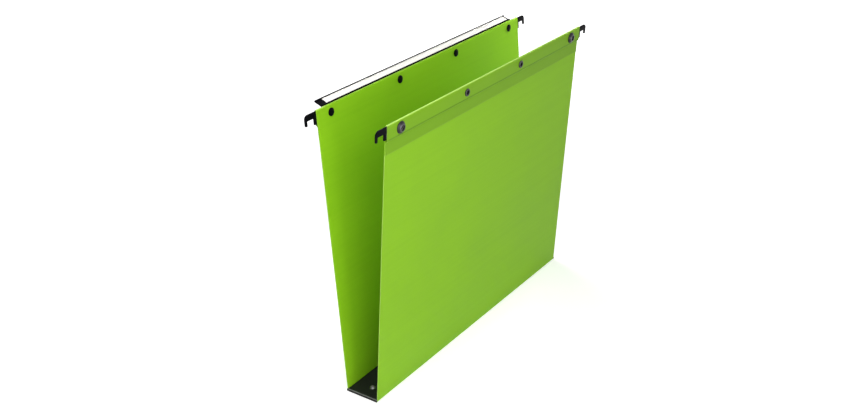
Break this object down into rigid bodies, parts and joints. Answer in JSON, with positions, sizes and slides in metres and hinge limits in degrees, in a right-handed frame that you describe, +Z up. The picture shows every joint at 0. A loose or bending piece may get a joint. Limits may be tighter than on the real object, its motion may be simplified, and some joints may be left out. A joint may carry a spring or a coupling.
{
  "type": "hanging file folder",
  "caption": "Plastic suspension file folder with a square base, hemmed walls on steel bars with hooks, press studs and a long label holder.",
  "frame": {"origin": "middle of the underside of the base", "axes": "+Z up, +X along the folder's width to the right seen from the front, -Y towards the front wall"},
  "size_m": [0.3432, 0.0826, 0.2598],
  "materials": {
    "green_sheet": "satin polypropylene sheet",
    "black_plastic": "moulded, satin",
    "base_black": "fine grain",
    "nickelled_metal": "nickel plated, dull",
    "steel": "cold rolled strip",
    "white_card": "bare white card"
  },
  "bodies": {
    "base": {"base_panel": "green_sheet", "base_plate": "base_black", "base_eyelets": "nickelled_metal"},
    "front_wall": {"front_hanger_bar": "steel", "front_left_hook": "black_plastic", "front_panel": "green_sheet", "front_right_hook": "black_plastic", "front_rivet_washers": "nickelled_metal", "front_rivets": "black_plastic", "front_socket_springs": "nickelled_metal", "front_stud_caps": "black_plastic", "front_stud_sockets": "nickelled_metal"},
    "back_wall": {"back_hanger_bar": "steel", "back_left_hook": "black_plastic", "back_panel": "green_sheet", "back_right_hook": "black_plastic", "back_rivet_washers": "nickelled_metal", "back_rivets": "black_plastic", "back_stud_caps": "black_plastic", "back_studs": "nickelled_metal", "label_holder": "black_plastic"},
    "label": {"paper_label": "white_card"}
  },
  "joints": [
    {"name": "front_fold", "type": "hinge", "parent": "base", "child": "front_wall", "pos_m": [0, -0.01595, 0.00025], "axis": [1, 0, 0], "range_deg": [-6, 85.7]},
    {"name": "back_fold", "type": "hinge", "parent": "base", "child": "back_wall", "pos_m": [0, 0.01595, 0.00025], "axis": [-1, 0, 0], "range_deg": [-8, 82.6]},
    {"name": "label_slide", "type": "slide", "parent": "back_wall", "child": "label", "axis": [-1, 0, 0], "range_m": [0, 0.292]}
  ]
}
